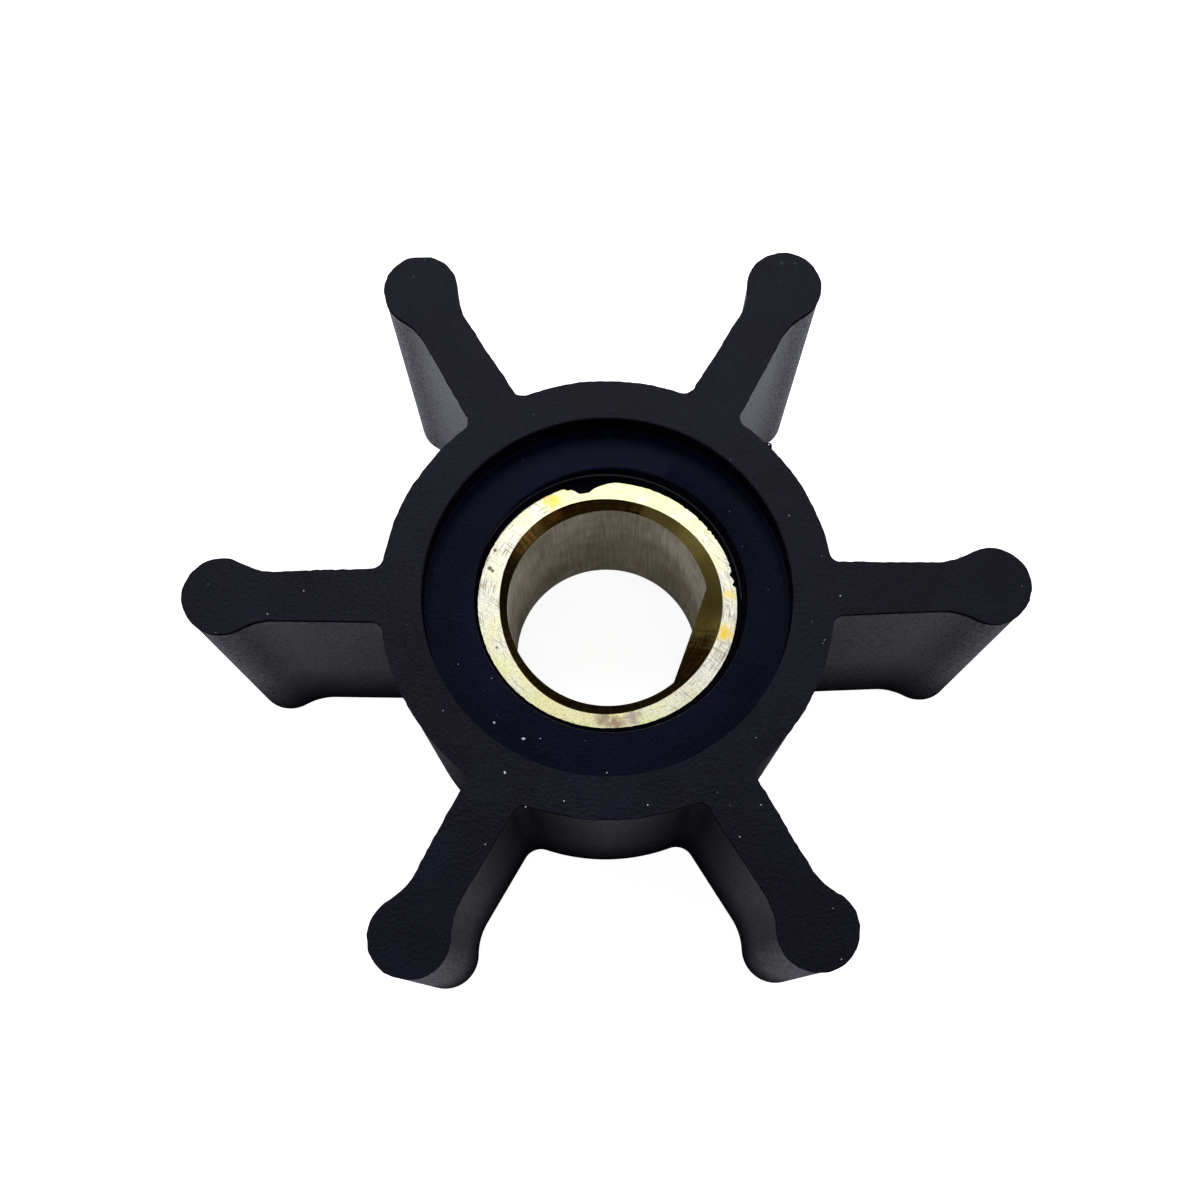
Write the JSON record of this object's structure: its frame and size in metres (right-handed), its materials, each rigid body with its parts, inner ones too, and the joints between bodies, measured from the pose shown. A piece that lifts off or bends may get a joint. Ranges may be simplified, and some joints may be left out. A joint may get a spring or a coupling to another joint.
{
  "type": "rubber pump impeller",
  "caption": "Flexible vane impeller for a marine cooling pump: black rubber hub with radial round-tipped vanes moulded onto a brass insert whose bore has one drive flat.",
  "frame": {"origin": "centre of the lower end face, on the shaft axis", "axes": "+Z along the shaft axis, towards the end whose insert lies less deep; +X along one vane"},
  "size_m": [0.0508, 0.0446, 0.022],
  "materials": {
    "moulded_rubber": "matt black moulded neoprene rubber with a faint dusty bloom",
    "turned_brass": "turned brass, bright scratched end faces, darker bore and countersinks"
  },
  "bodies": {
    "root": {"rubber_body": "moulded_rubber", "brass_insert": "turned_brass"}
  },
  "joints": []
}
